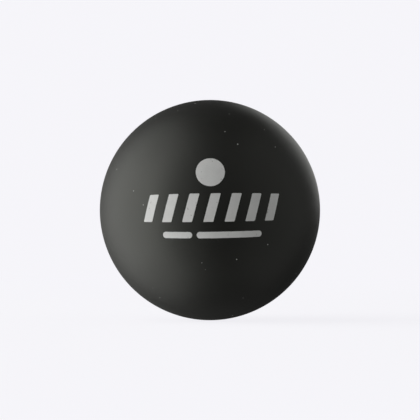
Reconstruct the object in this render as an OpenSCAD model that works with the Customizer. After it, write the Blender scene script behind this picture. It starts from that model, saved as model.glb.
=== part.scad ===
// Squash ball: two moulded rubber cups, bonded rim to rim and buffed round.
//
// Lengths are in millimetres. The origin is the centre of the ball, +Z is up, and the cups'
// common axis is Y: the pole of the front cup, which carries the print, faces -Y, and the
// seam lies in the XZ plane. The air in the chamber is at room pressure, so nothing else is inside.

/* [Ball] */
// Outside diameter of the finished ball
ball_d = 40; // [39.5:0.1:45]
// Thickness of the rubber wall
wall = 5; // [4:0.1:6]

/* [Seam] */
// Thickness of the cured rubber solution between the two rims
bond_t = 0.2; // [0.1:0.05:0.4]
// Width of the bevel that is ground on the inner edge of each rim
rim_bevel = 0.8; // [0.4:0.1:1.2]
// Height of the bead that is squeezed out into the chamber
bead_h = 0.5; // [0.2:0.1:0.9]

/* [Hidden] */

// How far a cutting shape runs past what it cuts
overrun = 1;
$fn = 144;

ball_r = ball_d / 2;
chamber_r = ball_r - wall;

// The rims are ground flat at half a bond line from the seam plane.
rim_z = bond_t / 2;
// Radius at which the bevel leaves the flat of the rim
bevel_r = chamber_r + rim_bevel;
// Distance from the seam plane at which the bevel runs out into the chamber
mouth_z = rim_z + rim_bevel;
// The bead is a round cap over the mouth of the groove: its radius follows from the half width
// of that mouth and its own height.
bead_r = (mouth_z * mouth_z + bead_h * bead_h) / (2 * bead_h);

rubber_colour = [0.125, 0.125, 0.115];
bond_colour = [0.235, 0.23, 0.21];

// The cutter for one rim's bevel, a cone that opens towards the seam plane
module bevel_cutter() {
    translate([0, 0, rim_z - overrun])
        cylinder(
            h = rim_bevel + 2 * overrun,
            r1 = bevel_r + overrun,
            r2 = chamber_r - overrun
        );
}

// One moulded cup with its pole on +Z and its rim facing the seam plane
module half_shell() {
    difference() {
        intersection() {
            sphere(r = ball_r);
            translate([0, 0, rim_z])
                cylinder(h = ball_r + overrun, r = ball_r + overrun);
        }
        sphere(r = chamber_r);
        bevel_cutter();
    }
}

// Cross-section of the bond line, from the ball's surface in to the chamber
module bond_profile() {
    // Film between the flats of the rims
    translate([bevel_r, -rim_z])
        square([wall - rim_bevel + overrun, bond_t]);
    // Filling of the groove that the two bevels make
    polygon([
        [chamber_r, -mouth_z],
        [bevel_r, -rim_z],
        [bevel_r, rim_z],
        [chamber_r, mouth_z]
    ]);
    // Bead over the mouth of the groove
    intersection() {
        translate([chamber_r - bead_h + bead_r, 0])
            circle(r = bead_r);
        translate([chamber_r - bead_h, -mouth_z])
            square([bead_h, 2 * mouth_z]);
    }
}

module front_half_shell() {
    color(rubber_colour)
        rotate([90, 0, 0])
            half_shell();
}

module rear_half_shell() {
    color(rubber_colour)
        rotate([-90, 0, 0])
            half_shell();
}

// The bond is buffed flush with the cups, so the ball's own sphere trims it.
module seam_bond() {
    color(bond_colour)
        rotate([90, 0, 0])
            intersection() {
                sphere(r = ball_r);
                rotate_extrude()
                    bond_profile();
            }
}

front_half_shell();
rear_half_shell();
seam_bond();
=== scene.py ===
# %% [markdown]
# A squash ball, from its moulded cups to its printed marks
#
# The real ball is two thick cups of black rubber. Their rims are bonded with rubber solution, the
# seam is buffed flush, and light grey marks are printed on one side. Each step below says what a
# piece or a finish is on the real ball, how Blender could make it, and why this way was chosen.
#
# The CAD model is loaded first and never changed. Every size that it knows is read from it. The
# lengths that are only looks are named in millimetres where they are first needed, and those of the
# room, the floor and the lamps, which are far longer, in metres.

# %% Load the CAD model and keep its box
import math

import bmesh
import bpy
from mathutils import Matrix, Vector
from mathutils.noise import noise as smooth_noise


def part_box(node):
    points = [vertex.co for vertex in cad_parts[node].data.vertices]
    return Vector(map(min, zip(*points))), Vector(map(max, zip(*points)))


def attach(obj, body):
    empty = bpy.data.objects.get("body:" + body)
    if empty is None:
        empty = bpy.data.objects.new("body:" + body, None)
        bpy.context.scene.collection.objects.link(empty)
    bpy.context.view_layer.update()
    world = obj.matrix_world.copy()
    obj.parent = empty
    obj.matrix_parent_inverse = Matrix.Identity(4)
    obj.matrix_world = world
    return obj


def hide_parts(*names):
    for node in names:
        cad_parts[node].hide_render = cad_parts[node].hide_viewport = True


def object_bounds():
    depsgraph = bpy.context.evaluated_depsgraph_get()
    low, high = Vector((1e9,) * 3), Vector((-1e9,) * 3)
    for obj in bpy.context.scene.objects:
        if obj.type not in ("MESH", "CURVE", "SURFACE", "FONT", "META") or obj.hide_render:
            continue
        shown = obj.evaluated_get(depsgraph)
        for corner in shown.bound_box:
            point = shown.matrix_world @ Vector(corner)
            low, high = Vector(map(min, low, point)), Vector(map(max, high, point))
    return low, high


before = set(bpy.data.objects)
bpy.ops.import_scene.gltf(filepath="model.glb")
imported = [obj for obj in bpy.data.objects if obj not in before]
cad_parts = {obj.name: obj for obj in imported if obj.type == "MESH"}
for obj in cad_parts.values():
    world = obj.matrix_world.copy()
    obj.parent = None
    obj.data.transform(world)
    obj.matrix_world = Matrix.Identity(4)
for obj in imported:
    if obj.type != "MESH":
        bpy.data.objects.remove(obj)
cad_low, cad_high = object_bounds()
MM = 0.001
print("CAD box in mm:", [round(side / MM, 2) for side in cad_high - cad_low])


# %% Read the ball's own sizes from the CAD nodes
def vertices_of(node):
    """Where the vertices of a CAD node are."""
    return [vertex.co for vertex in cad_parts[node].data.vertices]


HAIR = 0.01 * MM
ball_r = cad_high.y
rim_y = -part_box("front_half_shell")[1].y
groove_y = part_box("seam_bond")[1].y
chamber_r = min(point.length for point in vertices_of("front_half_shell"))
bead_top_r = min(point.length for point in vertices_of("seam_bond"))
bevel_r = chamber_r + groove_y - rim_y
chamber_wall = [point for point in vertices_of("front_half_shell") if point.length < chamber_r + HAIR]
mouth_y = min(abs(point.y) for point in chamber_wall)
print("radii in mm: ball", round(ball_r / MM, 2), "chamber", round(chamber_r / MM, 2))
print("rims", round(rim_y / MM, 2), "mm and bevels", round(mouth_y / MM, 2), "mm from the seam plane")

# %% [markdown]
# The camera
#
# A sphere has the same round outline from everywhere, so the photograph's viewing angle shows only
# in the print: it faces the lens squarely, level with the ball's middle. A long lens keeps the
# outline a true circle. Its length follows from the outline's size in the picture: a line of sight
# that grazes a sphere of radius r from a distance d has a slope of r / sqrt(d * d - r * r).

# %% Place the camera level with the ball
PICTURE_PX = 420
OUTLINE_R_PX = 110.34
BALL_X_PX = 209.96
BALL_Y_PX = 210.07
CAMERA_AWAY = 500 * MM

scene = bpy.context.scene
camera = bpy.data.objects.new("camera", bpy.data.cameras.new("camera"))
scene.collection.objects.link(camera)
scene.camera = camera
graze_slope = ball_r / math.sqrt(CAMERA_AWAY**2 - ball_r**2)
picture_slope = graze_slope * PICTURE_PX / OUTLINE_R_PX
camera.data.lens = camera.data.sensor_width / picture_slope
camera.data.shift_x = (PICTURE_PX / 2 - BALL_X_PX) / PICTURE_PX
camera.data.shift_y = (BALL_Y_PX - PICTURE_PX / 2) / PICTURE_PX
camera.location = (0, -CAMERA_AWAY, 0)
camera.rotation_euler = (math.pi / 2, 0, 0)
print("lens", round(camera.data.lens, 1), "mm")

# %% [markdown]
# Helpers for shaders
#
# A material is a graph of nodes, and written out node by node it hides its own sums. One small
# class wraps a socket and lets Python's operators add the Math nodes, so that `1 - mask` is a node
# too. Every other node comes from one method. It sets a node's settings first, because a setting
# can change which sockets are open, and then fills the sockets with values or links.


# %% Wrap a socket, so that sums on it become Math nodes
class Signal:
    """An output of a shader node."""

    def __init__(self, graph, socket):
        self.graph = graph
        self.socket = socket

    def maths(self, operation, *values):
        """Adds a Math node that works on the given values."""
        return self.graph.node("ShaderNodeMath", {"operation": operation}, values)

    def __add__(self, other):
        return self.maths("ADD", self, other)

    def __radd__(self, other):
        return self.maths("ADD", other, self)

    def __sub__(self, other):
        return self.maths("SUBTRACT", self, other)

    def __rsub__(self, other):
        return self.maths("SUBTRACT", other, self)

    def __mul__(self, other):
        return self.maths("MULTIPLY", self, other)

    def __rmul__(self, other):
        return self.maths("MULTIPLY", other, self)

    def __abs__(self):
        return self.maths("ABSOLUTE", self)


# %% Add nodes to a material or to the world
BLACK = (0.0, 0.0, 0.0, 1.0)
MIDDLE = 0.5


class Graph:
    """The node tree of a material or of the world."""

    def __init__(self, owner):
        owner.use_nodes = True
        self.tree = owner.node_tree
        self.tree.nodes.clear()

    def node(self, kind, settings=None, sockets=(), output=None):
        """Adds a node and returns its named output, or its first open one.

        The sockets are filled by name from a dictionary, or in their order from a sequence.
        """
        node = self.tree.nodes.new(kind)
        for name, value in (settings or {}).items():
            setattr(node, name, value)
        open_inputs = [socket for socket in node.inputs if socket.enabled]
        if isinstance(sockets, dict):
            by_name = {socket.name: socket for socket in open_inputs}
            filled = [(by_name[name], value) for name, value in sockets.items()]
        else:
            filled = zip(open_inputs, sockets)
        for socket, value in filled:
            if isinstance(value, Signal):
                self.tree.links.new(value.socket, socket)
            else:
                socket.default_value = value
        outputs = [socket for socket in node.outputs if socket.enabled]
        wanted = [socket for socket in outputs if output in (None, socket.name)]
        return Signal(self, wanted[0]) if wanted else None

    def noise(self, place, size):
        """Smooth noise from -0.5 to 0.5, with features of about the given size."""
        sockets = {"Vector": place, "Scale": 1 / size}
        return self.node("ShaderNodeTexNoise", None, sockets, "Fac") - MIDDLE

    def lines(self, along, size):
        """Noise that changes along one axis only, so that it draws lines across that axis."""
        sockets = {"W": along, "Scale": 1 / size}
        return self.node("ShaderNodeTexNoise", {"noise_dimensions": "1D"}, sockets, "Fac") - MIDDLE

    def fade(self, value, full, none):
        """1 where the value is at full or beyond, 0 at none, and a smooth slope between."""
        sockets = {"Value": value, "From Min": none, "From Max": full}
        return self.node("ShaderNodeMapRange", {"interpolation_type": "SMOOTHSTEP"}, sockets)

    def shade(self, colour, factor):
        """The colour made darker or lighter by a factor, which may be above 1."""
        settings = {"data_type": "RGBA", "clamp_factor": False}
        sockets = {"Factor": factor, "A": BLACK, "B": colour}
        return self.node("ShaderNodeMix", settings, sockets)

    def mix(self, share, first, second):
        """A colour that goes from the first to the second as the share goes from 0 to 1."""
        sockets = {"Factor": share, "A": first, "B": second}
        return self.node("ShaderNodeMix", {"data_type": "RGBA"}, sockets)


# %% [markdown]
# The buffed rubber
#
# The cups are butyl rubber with carbon black. Buffing takes off the mould's gloss and leaves a dull,
# very dark skin with a hint of warm green. It isn't even: it is mottled where the rubber wore more,
# it has a fine grain that can be felt, and here and there sits a pale speck of filler or a pit.
# The wheel that trims the seam leaves a smoother band on each side of it, with fine rings round it.
#
# A picture wrapped round the ball would need an unwrapped surface and would pinch at its poles.
# Solid noise and solid cells, read at the Object coordinates, cut through both cups alike and run
# on across the seam. The sizes and the heights are real ones, so the finish keeps its scale.


# %% Mix greys
def grey(level, warmth=0.0):
    """A grey that reflects the level's share of light, and less blue by the warmth's share."""
    return (level, level, level * (1 - warmth), 1.0)


# %% Scatter crooked grains through space
GRAIN_CORE = 0.7


def grains(graph, place, apart, radius):
    """1 inside small crooked balls that lie scattered through space, one to a cell, and 0 outside."""
    push = graph.node("ShaderNodeTexNoise", None, {"Vector": place, "Scale": 1 / radius}, "Color")
    reach = (radius, radius, radius)
    pushed = graph.node("ShaderNodeVectorMath", {"operation": "MULTIPLY_ADD"}, [push, reach, place])
    cells = {"Vector": pushed, "Scale": 1 / apart}
    distance = graph.node("ShaderNodeTexVoronoi", None, cells, "Distance")
    return graph.fade(distance, full=GRAIN_CORE * radius / apart, none=radius / apart)


# %% Close a material with its one shader
def finish_material(graph, height, surface):
    """Adds a bump of the given height in millimetres, the surface's shader and the output."""
    bump = graph.node("ShaderNodeBump", None, {"Strength": 1.0, "Distance": MM, "Height": height})
    shader = graph.node("ShaderNodeBsdfPrincipled", None, {**surface, "Normal": bump})
    graph.node("ShaderNodeOutputMaterial", None, {"Surface": shader})


# %% Set the rubber's tones
RUBBER = grey(0.0067, warmth=0.09)
RUBBER_ROUGHNESS = 0.475
RUBBER_SHINE = (0.985, 1.0, 0.94, 1.0)
SPECK = grey(0.6)

# %% Set the sizes of what shows in the skin
MOTTLE_SIZE = 7 * MM
PEEL_SIZE = 0.7 * MM
GRAIN_SIZE = 0.16 * MM
RING_SIZE = 0.06 * MM
TRIM_HALF = 0.7 * MM
TRIM_EDGE = 1.4 * MM
SPECK_APART = 2.55 * MM
SPECK_R = 0.115 * MM
PIT_APART = 4.6 * MM
PIT_R = 0.16 * MM

# %% Set how strongly each one shows, with the heights in millimetres
TONE_DRIFT = 0.3
ROUGH_DRIFT = 0.06
TRIM_POLISH = 0.05
TRIM_CALM = 0.5
PEEL_H = 0.008
GRAIN_H = 0.012
RING_H = 0.006
SPECK_H = 0.004
PIT_H = 0.03


# %% Make the rubber
def make_rubber():
    """Mottled black rubber with its specks, its pits with painted shade in them, and the trimmed band
    beside the seam.
    """
    material = bpy.data.materials.new("buffed_rubber")
    graph = Graph(material)
    place = graph.node("ShaderNodeTexCoord", output="Object")
    from_seam = abs(graph.node("ShaderNodeSeparateXYZ", None, [place], "Y"))
    trimmed = graph.fade(from_seam, full=TRIM_HALF, none=TRIM_EDGE)

    peel = graph.noise(place, PEEL_SIZE)
    grain = graph.noise(place, GRAIN_SIZE)
    specks = grains(graph, place, SPECK_APART, SPECK_R)
    pits_and_shade = grains(graph, place, PIT_APART, PIT_R)
    height = (PEEL_H * peel + GRAIN_H * grain) * (1 - TRIM_CALM * trimmed)
    height = height + RING_H * trimmed * graph.lines(from_seam, RING_SIZE)
    height = height + SPECK_H * specks - PIT_H * pits_and_shade

    uneven = graph.noise(place, MOTTLE_SIZE) + grain
    base = graph.shade(RUBBER, 1 + TONE_DRIFT * uneven)
    # Painted shade: the pits are painted black, as the shade in their hollows.
    base = graph.mix(pits_and_shade, base, BLACK)
    base = graph.mix(specks, base, SPECK)
    roughness = RUBBER_ROUGHNESS + ROUGH_DRIFT * uneven - TRIM_POLISH * trimmed
    surface = {"Base Color": base, "Roughness": roughness, "Specular Tint": RUBBER_SHINE}
    finish_material(graph, height, surface)
    return material


rubber = make_rubber()
print("the rubber's graph has", len(rubber.node_tree.nodes), "nodes")

# %% [markdown]
# The two cups
#
# Each cup is compression moulded as half a hollow sphere with a thick wall. Its rim is ground flat,
# and the rim's inner edge is bevelled, so that the rubber solution has a groove to fill.
#
# A cube or an icosphere could be cut in half and thickened, but a cup is a turned form: one section,
# spun round the ball's axis. So the section is drawn as wire, with arcs that are themselves spins
# of a single vertex, and then spun full circle. The wall, the rim and the bevel all come out exact.
# Buffing never leaves a perfect sphere, so the outside is let in by a few hundredths of a
# millimetre, more in some places than in others. It stays inside the CAD ball everywhere, and the
# film of ink fills that room up to the CAD ball's surface.

# %% Draw wire in the plane of the section
CENTRE = Vector((0, 0, 0))
X_AXIS = Vector((1, 0, 0))
Y_AXIS = Vector((0, 1, 0))
Z_AXIS = Vector((0, 0, 1))


def draw_arc(mesh, vertex, centre, angle, steps):
    """Draws on from a vertex along an arc in the YZ plane, and returns the arc's last vertex."""
    made = bmesh.ops.spin(mesh, geom=[vertex], cent=centre, axis=X_AXIS, angle=angle, steps=steps)
    return next(part for part in made["geom_last"] if isinstance(part, bmesh.types.BMVert))


def draw_line(mesh, vertex, end):
    """Draws on from a vertex straight to the end, and returns the vertex there."""
    last = bmesh.ops.extrude_vert_indiv(mesh, verts=[vertex])["verts"][0]
    last.co = end
    return last


# %% Spin a section full circle and close it
TURN_STEPS = 288
MERGE = 0.001 * MM


def turn(mesh):
    """Spins all the wire round the ball's axis, closes the poles and turns the faces outwards."""
    wire = mesh.verts[:] + mesh.edges[:]
    full = {"angle": math.tau, "steps": TURN_STEPS, "use_merge": True}
    bmesh.ops.spin(mesh, geom=wire, cent=CENTRE, axis=Y_AXIS, **full)
    bmesh.ops.remove_doubles(mesh, verts=mesh.verts, dist=MERGE)
    bmesh.ops.recalc_face_normals(mesh, faces=mesh.faces)


# %% Make a finished shape a piece of the ball
SHARP_EDGE = math.radians(25)


def make_piece(name, mesh, material, node=None):
    """Turns a bmesh into a smooth shaded piece, which stands for a CAD node where one is named."""
    open_edges = sum(not edge.is_manifold for edge in mesh.edges)
    print(name, "has", len(mesh.faces), "faces,", open_edges, "open edges and", end=" ")
    print(round(mesh.calc_volume() / MM**3, 2), "mm3")
    for face in mesh.faces:
        face.smooth = True
    data = bpy.data.meshes.new(name)
    mesh.to_mesh(data)
    mesh.free()
    data.set_sharp_from_angle(angle=SHARP_EDGE)
    data.materials.append(material)
    piece = bpy.data.objects.new(name, data)
    scene.collection.objects.link(piece)
    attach(piece, "root")
    if node:
        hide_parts(node)


# %% Wear the skin as a buffing wheel does
INK_RELIEF = 0.02 * MM
BUFFED_RELIEF = 0.02 * MM
BUFFED_WAVE = 9 * MM
skin_r = ball_r - INK_RELIEF


def buff(mesh):
    """Lets the outside in a little, unevenly."""
    for vertex in mesh.verts:
        if vertex.co.length > skin_r - HAIR:
            worn = (1 + smooth_noise(vertex.co / BUFFED_WAVE)) / 2
            vertex.co *= 1 - BUFFED_RELIEF * worn / skin_r


# %% Make the cups
OUTER_STEPS = 96
INNER_STEPS = 48


def make_cup(name, node, pole):
    """Makes a cup with its pole on the side of the Y axis that the sign of pole gives."""
    mesh = bmesh.new()
    rim_angle = math.acos(rim_y / skin_r)
    mouth_angle = math.acos(mouth_y / chamber_r)
    tip = mesh.verts.new((0, pole * skin_r, 0))
    draw_arc(mesh, tip, CENTRE, pole * rim_angle, OUTER_STEPS)
    inner_tip = mesh.verts.new((0, pole * chamber_r, 0))
    mouth = draw_arc(mesh, inner_tip, CENTRE, pole * mouth_angle, INNER_STEPS)
    side = math.copysign(1, mouth.co.z)
    bevel = draw_line(mesh, mouth, (0, pole * rim_y, side * bevel_r))
    draw_line(mesh, bevel, (0, pole * rim_y, side * math.sqrt(skin_r**2 - rim_y**2)))
    turn(mesh)
    buff(mesh)
    make_piece(name, mesh, rubber, node)


make_cup("front_cup", "front_half_shell", pole=-1)
make_cup("rear_cup", "rear_half_shell", pole=1)

# %% [markdown]
# The seam bond
#
# Rubber solution is brushed on both rims, left to dry and pressed together, and it cures into a
# film 0.2 mm thick. It fills the groove between the bevels and ends in a round bead in the chamber.
# Outside, the buffing wheel leaves it a hair lower than the cups, and as it holds less carbon black
# it shows as a thin line, a little paler and smoother than the rubber.
#
# It is a ring, so it is turned like the cups, from a section that is drawn in the same plane.

# %% Make the bond's finish
BOND = grey(0.024, warmth=0.1)
BOND_ROUGHNESS = 0.42
BOND_PATCH_SIZE = 2.5 * MM
BOND_DRIFT = 0.6
BOND_GRAIN_H = 0.006


def make_bond():
    """Cured solution, smoother than the rubber and patchier in tone."""
    material = bpy.data.materials.new("cured_solution")
    graph = Graph(material)
    place = graph.node("ShaderNodeTexCoord", output="Object")
    grain = graph.noise(place, GRAIN_SIZE)
    uneven = graph.noise(place, BOND_PATCH_SIZE) + grain
    base = graph.shade(BOND, 1 + BOND_DRIFT * uneven)
    surface = {"Base Color": base, "Roughness": BOND_ROUGHNESS + ROUGH_DRIFT * uneven}
    finish_material(graph, BOND_GRAIN_H * grain, surface)
    return material


cured_solution = make_bond()
print("the bond's graph has", len(cured_solution.node_tree.nodes), "nodes")

# %% Make the bond's ring
BOND_RECESS = 0.03 * MM
BEAD_STEPS = 12
bond_r = skin_r - BOND_RECESS
bead_h = chamber_r - bead_top_r
bead_r = (groove_y**2 + bead_h**2) / (2 * bead_h)
bead_angle = 2 * math.asin(groove_y / bead_r)


def make_bond_ring():
    """Draws the bead, then from each end of it the groove and the film, and turns the section."""
    mesh = bmesh.new()
    bead_centre = Z_AXIS * (bead_top_r + bead_r)
    first = mesh.verts.new((0, -groove_y, chamber_r))
    last = draw_arc(mesh, first, bead_centre, bead_angle, BEAD_STEPS)
    outer_ends = []
    for bead_end, side in ((last, 1), (first, -1)):
        groove_end = draw_line(mesh, bead_end, (0, side * rim_y, bevel_r))
        outer_ends.append(draw_line(mesh, groove_end, (0, side * rim_y, bond_r)))
    mesh.edges.new(outer_ends)
    turn(mesh)
    make_piece("seam_ring", mesh, cured_solution, "seam_bond")


make_bond_ring()

# %% [markdown]
# The printed marks
#
# The marks are pad printed: a soft pad picks the ink off a flat plate and lays it on the ball, so a
# flat drawing keeps its lengths as it bends round the curve. The ink is a light grey film, a few
# hundredths of a millimetre thick. Its colour is painted lighter towards the right and darker towards
# the left, as painted light and shade for how the lamps fall across the print. These marks are plain
# shapes of no meaning: a disc, a row of seven leaning stripes and two bars, in the tone and size that
# print on such a ball has.
#
# They could be painted in the rubber's shader, but as film they have an edge that catches light, and
# they come along as pieces of their own. Each is a flat plate, scored into small cells by a bisecting
# plane so that it can bend, wrapped round the ball by its distance from the pole, and thickened.

# %% Set the ink's tone and the sizes of its flaws
INK = grey(0.715)
INK_ROUGHNESS = 0.52
CLOUD_SIZE = 1.8 * MM
WEAR_SIZE = 0.7 * MM
PINHOLE_APART = 1.1 * MM
PINHOLE_R = 0.09 * MM

# %% Set how strongly each flaw and the painted light show, with the heights in millimetres
INK_DRIFT = 0.12
# Painted light: the ink's colour is made lighter towards the right and darker towards the left.
PAINTED_LIGHT_RIGHTWARD = 0.34
WEAR_NONE = -0.16
WEAR_FULL = -0.3
WEAR_SHARE = 0.4
PINHOLE_SHARE = 0.6
INK_GRAIN_H = 0.006
PINHOLE_H = 0.01


# %% Make the ink, with painted light that makes it lighter towards the right
def make_ink():
    """Grey ink with faint clouds, worn patches and pinholes, where the rubber's black shows, and
    painted light that makes it lighter towards the right.
    """
    material = bpy.data.materials.new("print_ink")
    graph = Graph(material)
    place = graph.node("ShaderNodeTexCoord", output="Object")
    across = graph.node("ShaderNodeSeparateXYZ", None, [place], "X")
    grain = graph.noise(place, GRAIN_SIZE)
    uneven = graph.noise(place, CLOUD_SIZE) + grain
    pinholes = grains(graph, place, PINHOLE_APART, PINHOLE_R)
    worn = graph.fade(graph.noise(place, WEAR_SIZE), full=WEAR_FULL, none=WEAR_NONE)
    # Painted light and shade: the ink's colour grows lighter towards the right and darker towards the
    # left.
    base = graph.shade(INK, 1 + INK_DRIFT * uneven + PAINTED_LIGHT_RIGHTWARD / ball_r * across)
    base = graph.mix(WEAR_SHARE * worn + PINHOLE_SHARE * pinholes, base, RUBBER)
    surface = {"Base Color": base, "Roughness": INK_ROUGHNESS + ROUGH_DRIFT * uneven}
    finish_material(graph, INK_GRAIN_H * grain - PINHOLE_H * pinholes, surface)
    return material


print_ink = make_ink()
print("the ink's graph has", len(print_ink.node_tree.nodes), "nodes")

# %% Draw flat marks that face the camera
TO_FRONT = Matrix.Rotation(math.pi / 2, 4, "X")
UNIT_HALF = 0.5


def flat_plate(width, height, corner_r, corner_steps):
    """A flat rectangle with round corners."""
    mesh = bmesh.new()
    size = Matrix.Diagonal((width, height, 1, 1))
    bmesh.ops.create_grid(mesh, x_segments=1, y_segments=1, size=UNIT_HALF, matrix=TO_FRONT @ size)
    corner = {"affect": "VERTICES", "segments": corner_steps, "profile": 0.5, "material": -1}
    bmesh.ops.bevel(mesh, geom=mesh.verts[:], offset=corner_r, offset_type="OFFSET", **corner)
    return mesh


def flat_disc(radius, steps):
    """A flat disc."""
    mesh = bmesh.new()
    bmesh.ops.create_circle(mesh, cap_ends=True, segments=steps, radius=radius, matrix=TO_FRONT)
    return mesh


def lean(mesh, slope):
    """Leans a flat mark to the right by the given slope."""
    leaning = Matrix.Identity(4)
    leaning[0][2] = slope
    bmesh.ops.transform(mesh, matrix=leaning, verts=mesh.verts)


# %% Bend a flat mark round the ball
PRINT_TILT = math.radians(0.75)
CELL = 0.4 * MM
EDGE_WANDER = 0.02 * MM
WANDER_SIZE = 0.3 * MM
FILM = 0.05 * MM


def score(mesh):
    """Cuts a flat mark into small cells along X and Z."""
    for axis in (X_AXIS, Z_AXIS):
        reach = [vertex.co.dot(axis) / CELL for vertex in mesh.verts]
        for step in range(math.ceil(min(reach)), math.floor(max(reach)) + 1):
            everything = mesh.verts[:] + mesh.edges[:] + mesh.faces[:]
            plane = {"plane_co": axis * step * CELL, "plane_no": axis, "dist": MERGE}
            bmesh.ops.bisect_plane(mesh, geom=everything, **plane)


def roughen_edge(mesh):
    """Lets the outline wander by a few hundredths of a millimetre, as ink does on rubber."""
    for vertex in mesh.verts:
        if vertex.is_boundary:
            here = vertex.co / WANDER_SIZE
            vertex.co.x += EDGE_WANDER * smooth_noise(here)
            vertex.co.z += EDGE_WANDER * smooth_noise(here + Y_AXIS)


def wrap(mesh):
    """Bends the flat mark round the ball, with each point as far from the pole as it was drawn."""
    for vertex in mesh.verts:
        away = Vector((vertex.co.x, 0, vertex.co.z))
        angle = away.length / ball_r
        vertex.co = ball_r * (math.sin(angle) * away.normalized() - math.cos(angle) * Y_AXIS)


def thicken(mesh):
    """Gives the mark a second face, the film's thickness nearer to the centre of the ball."""
    made = bmesh.ops.extrude_face_region(mesh, geom=mesh.faces[:], use_keep_orig=True)["geom"]
    inner = [part for part in made if isinstance(part, bmesh.types.BMVert)]
    bmesh.ops.scale(mesh, vec=Vector((1, 1, 1)) * (1 - FILM / ball_r), verts=inner)
    bmesh.ops.recalc_face_normals(mesh, faces=mesh.faces)


def print_mark(name, mesh, x, z):
    """Prints a flat mark with its middle at x and z, as measured round the ball from the pole."""
    placed = Matrix.Rotation(-PRINT_TILT, 4, "Y") @ Matrix.Translation((x, 0, z))
    bmesh.ops.transform(mesh, matrix=placed, verts=mesh.verts)
    score(mesh)
    roughen_edge(mesh)
    wrap(mesh)
    thicken(mesh)
    make_piece(name, mesh, print_ink)


# %% Print a disc
DISC_R = 2.6 * MM
DISC_X = 0.15 * MM
DISC_Z = 6.8 * MM
DISC_STEPS = 96
print_mark("ink_disc", flat_disc(DISC_R, DISC_STEPS), DISC_X, DISC_Z)

# %% Print a row of stripes
STRIPES = 7
STRIPE_W = 1.75 * MM
STRIPE_H = 5.0 * MM
STRIPE_PITCH = 3.74 * MM
STRIPE_LEAN = 0.28
STRIPE_CORNER_R = 0.15 * MM
STRIPE_CORNER_STEPS = 3
ROW_X = 0.37 * MM
ROW_Z = 0.44 * MM
for count in range(STRIPES):
    stripe = flat_plate(STRIPE_W, STRIPE_H, STRIPE_CORNER_R, STRIPE_CORNER_STEPS)
    lean(stripe, STRIPE_LEAN)
    across = ROW_X + (count - (STRIPES - 1) / 2) * STRIPE_PITCH
    print_mark(f"ink_stripe_{count + 1}", stripe, across, ROW_Z)

# %% Print a short bar and a long one
BAR_H = 1.15 * MM
BAR_Z = -4.4 * MM
BAR_END_R = 0.56 * MM
BAR_END_STEPS = 8
SHORT_BAR_W = 5.4 * MM
SHORT_BAR_X = -5.9 * MM
LONG_BAR_W = 11.8 * MM
LONG_BAR_X = 3.5 * MM
short_bar = flat_plate(SHORT_BAR_W, BAR_H, BAR_END_R, BAR_END_STEPS)
long_bar = flat_plate(LONG_BAR_W, BAR_H, BAR_END_R, BAR_END_STEPS)
print_mark("ink_bar_short", short_bar, SHORT_BAR_X, BAR_Z)
print_mark("ink_bar_long", long_bar, LONG_BAR_X, BAR_Z)

# %% [markdown]
# The room
#
# The ball rests on a plain pale floor in a pale room. The camera sees both at nearly white, yet the
# ball was lit by its lamps and hardly by the walls. More light would turn the walls pale and the ball
# grey, so Light Path tells the kinds of ray apart. Camera and transmission rays are shown the pale
# tone, and rays that carry light to the ball find the room at the low level that lit it.
#
# Glossy rays are shown a small share of the pale tone. For metal or glass that share would be 1, but
# the ball has neither. In the sheen of its rubber a white room would be a grey veil over the black.
#
# The low level isn't quite even. A surface mirrors most at its edge, yet the ball's lower right edge is
# as black as its middle, so what it mirrors is darker than the rest of the room: a dim band round the
# ball, lower than its middle. In a world's shader the Object coordinates are the direction of the
# ray, and one span of their Z is such a band.

# %% Tell the kinds of ray apart
PALE = (0.921, 0.914, 0.953, 1.0)
GLOSS_SHARE = 0.013


def pale_share(graph):
    """How much of the room's pale tone a ray is shown."""
    seen = graph.node("ShaderNodeLightPath", output="Is Camera Ray")
    seen_through = graph.node("ShaderNodeLightPath", output="Is Transmission Ray")
    mirrored = graph.node("ShaderNodeLightPath", output="Is Glossy Ray")
    return seen + seen_through + GLOSS_SHARE * mirrored


# %% Make the pale room
ROOM = grey(0.084, warmth=0.03)
BAND = grey(0.02, warmth=0.03)
BAND_Z = -0.4
BAND_CORE = 0.1
BAND_HALF = 0.3

scene.world = bpy.data.worlds.new("room")
room = Graph(scene.world)
towards = room.node("ShaderNodeTexCoord", output="Object")
upwards = room.node("ShaderNodeSeparateXYZ", None, [towards], "Z")
in_band = room.fade(abs(upwards - BAND_Z), full=BAND_CORE, none=BAND_HALF)
dim = room.node("ShaderNodeBackground", None, {"Color": room.mix(in_band, ROOM, BAND)})
pale = room.node("ShaderNodeBackground", None, {"Color": PALE})
walls = room.node("ShaderNodeMixShader", None, [pale_share(room), dim, pale])
room.node("ShaderNodeOutputWorld", None, {"Surface": walls})
print("walls look", PALE[:3], "and shine", ROOM[:3], "or in the band", BAND[:3])

# %% [markdown]
# The floor
#
# The floor is a wide disc under the ball. Its tone is the walls' own, so it ends without a line. Near
# the ball a little of that tone is light on a grey surface instead of glow, and the ball's soft shadow
# falls there. The rays that carry light to the ball pass through the floor, so the ball is lit from
# below too, as a pale table top would light it.

# %% Make the floor's finish, with lengths in metres
FLOOR_GREY = grey(0.127)
GLOW = 0.92
LIT_R = 0.06
UNLIT_R = 0.3


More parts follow.
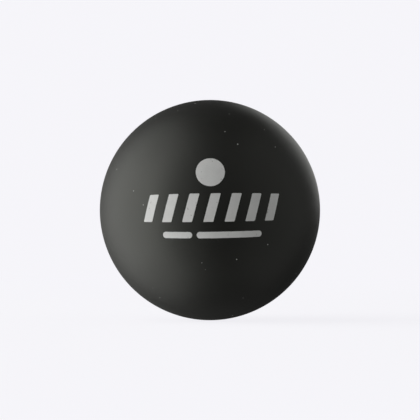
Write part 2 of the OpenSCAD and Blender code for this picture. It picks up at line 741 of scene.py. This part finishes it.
def make_floor_finish():
    """A pale tone that glows, and that takes the ball's shadow near the ball."""
    material = bpy.data.materials.new("pale_floor")
    graph = Graph(material)
    place = graph.node("ShaderNodeTexCoord", output="Object")
    from_ball = graph.node("ShaderNodeVectorMath", {"operation": "LENGTH"}, [place], "Value")
    far_tone = graph.node("ShaderNodeEmission", None, {"Color": PALE})
    glow = graph.node("ShaderNodeEmission", None, {"Color": PALE, "Strength": GLOW})
    lit = graph.node("ShaderNodeBsdfDiffuse", None, {"Color": FLOOR_GREY})
    near_tone = graph.node("ShaderNodeAddShader", None, [glow, lit])
    near = graph.fade(from_ball, full=LIT_R, none=UNLIT_R)
    tone = graph.node("ShaderNodeMixShader", None, [near, far_tone, near_tone])
    clear = graph.node("ShaderNodeBsdfTransparent")
    surface = graph.node("ShaderNodeMixShader", None, [pale_share(graph), clear, tone])
    graph.node("ShaderNodeOutputMaterial", None, {"Surface": surface})
    return material


# %% Lay the floor, with its radius in metres
FLOOR_R = 2.0
FLOOR_STEPS = 96


def lay_floor():
    """Lays a disc at the foot of the ball, as part of the stage."""
    mesh = bmesh.new()
    low = Matrix.Translation(-Z_AXIS * ball_r)
    bmesh.ops.create_circle(mesh, cap_ends=True, segments=FLOOR_STEPS, radius=FLOOR_R, matrix=low)
    data = bpy.data.meshes.new("floor")
    mesh.to_mesh(data)
    mesh.free()
    data.materials.append(make_floor_finish())
    floor = bpy.data.objects.new("floor", data)
    scene.collection.objects.link(floor)
    print("floor", 2 * FLOOR_R, "m across and", round(ball_r / MM, 2), "mm under the ball's centre")


lay_floor()

# %% [markdown]
# The lamps
#
# The photograph's tones say where its light was. The ball is brightest on its left, from top to
# bottom: a tall panel stands square to the left, with a smaller and brighter one inside it. The tone
# falls off in soft steps towards the middle: two tall thin strips stand between that panel and the
# camera, and they light the print as well. A weak panel keeps the right side from going black. Two
# small panels stand behind the ball: a faint one on the left, which keeps the tone up to the very edge,
# and one on the right and a little higher, which draws the crescent round the upper right edge.
#
# Point lamps would leave round highlights, which the photograph doesn't have. A panel is given its
# radiance, which is how bright it looks, and its power follows from that and its area.

# %% Set up a soft panel, with lengths in metres
LAMP_TINT = (0.993, 1.0, 0.975)
LAMP_AWAY = 0.6


def add_panel(name, azimuth, elevation, width, height, radiance):
    """A panel that faces the ball. Azimuth 0 is towards the camera, and 90 is to the right."""
    light = bpy.data.lights.new(name, "AREA")
    light.shape = "RECTANGLE"
    light.size = width
    light.size_y = height
    light.energy = radiance * math.pi * width * height
    light.color = LAMP_TINT
    lamp = bpy.data.objects.new(name, light)
    scene.collection.objects.link(lamp)
    turned = Matrix.Rotation(math.radians(azimuth), 4, "Z")
    tilted = Matrix.Rotation(math.radians(-elevation), 4, "X")
    direction = turned @ tilted @ -Y_AXIS
    lamp.location = LAMP_AWAY * direction
    lamp.rotation_euler = direction.to_track_quat("Z", "Y").to_euler()
    print(name, "gives", round(light.energy, 2), "W")


# %% Place the panels, with sides in metres
add_panel("left_panel", azimuth=-97, elevation=0, width=1.08, height=3.24, radiance=1.06)
add_panel("left_core", azimuth=-89, elevation=0, width=0.68, height=1.08, radiance=1.22)
add_panel("left_strip", azimuth=-57, elevation=0, width=0.24, height=4.0, radiance=1.25)
add_panel("front_strip", azimuth=-25, elevation=0, width=0.24, height=4.0, radiance=0.42)
add_panel("right_panel", azimuth=76, elevation=3, width=1.12, height=2.4, radiance=0.27)
add_panel("back_left_panel", azimuth=-157, elevation=-6, width=0.3, height=0.6, radiance=0.125)
add_panel("back_right_panel", azimuth=157, elevation=15.5, width=0.31, height=0.31, radiance=1.32)

# %% [markdown]
# The last lines
#
# The view transform is Standard, so a colour in the picture is the colour that was reflected.

# %% Set the view transform and finish
scene.view_settings.view_transform = "Standard"
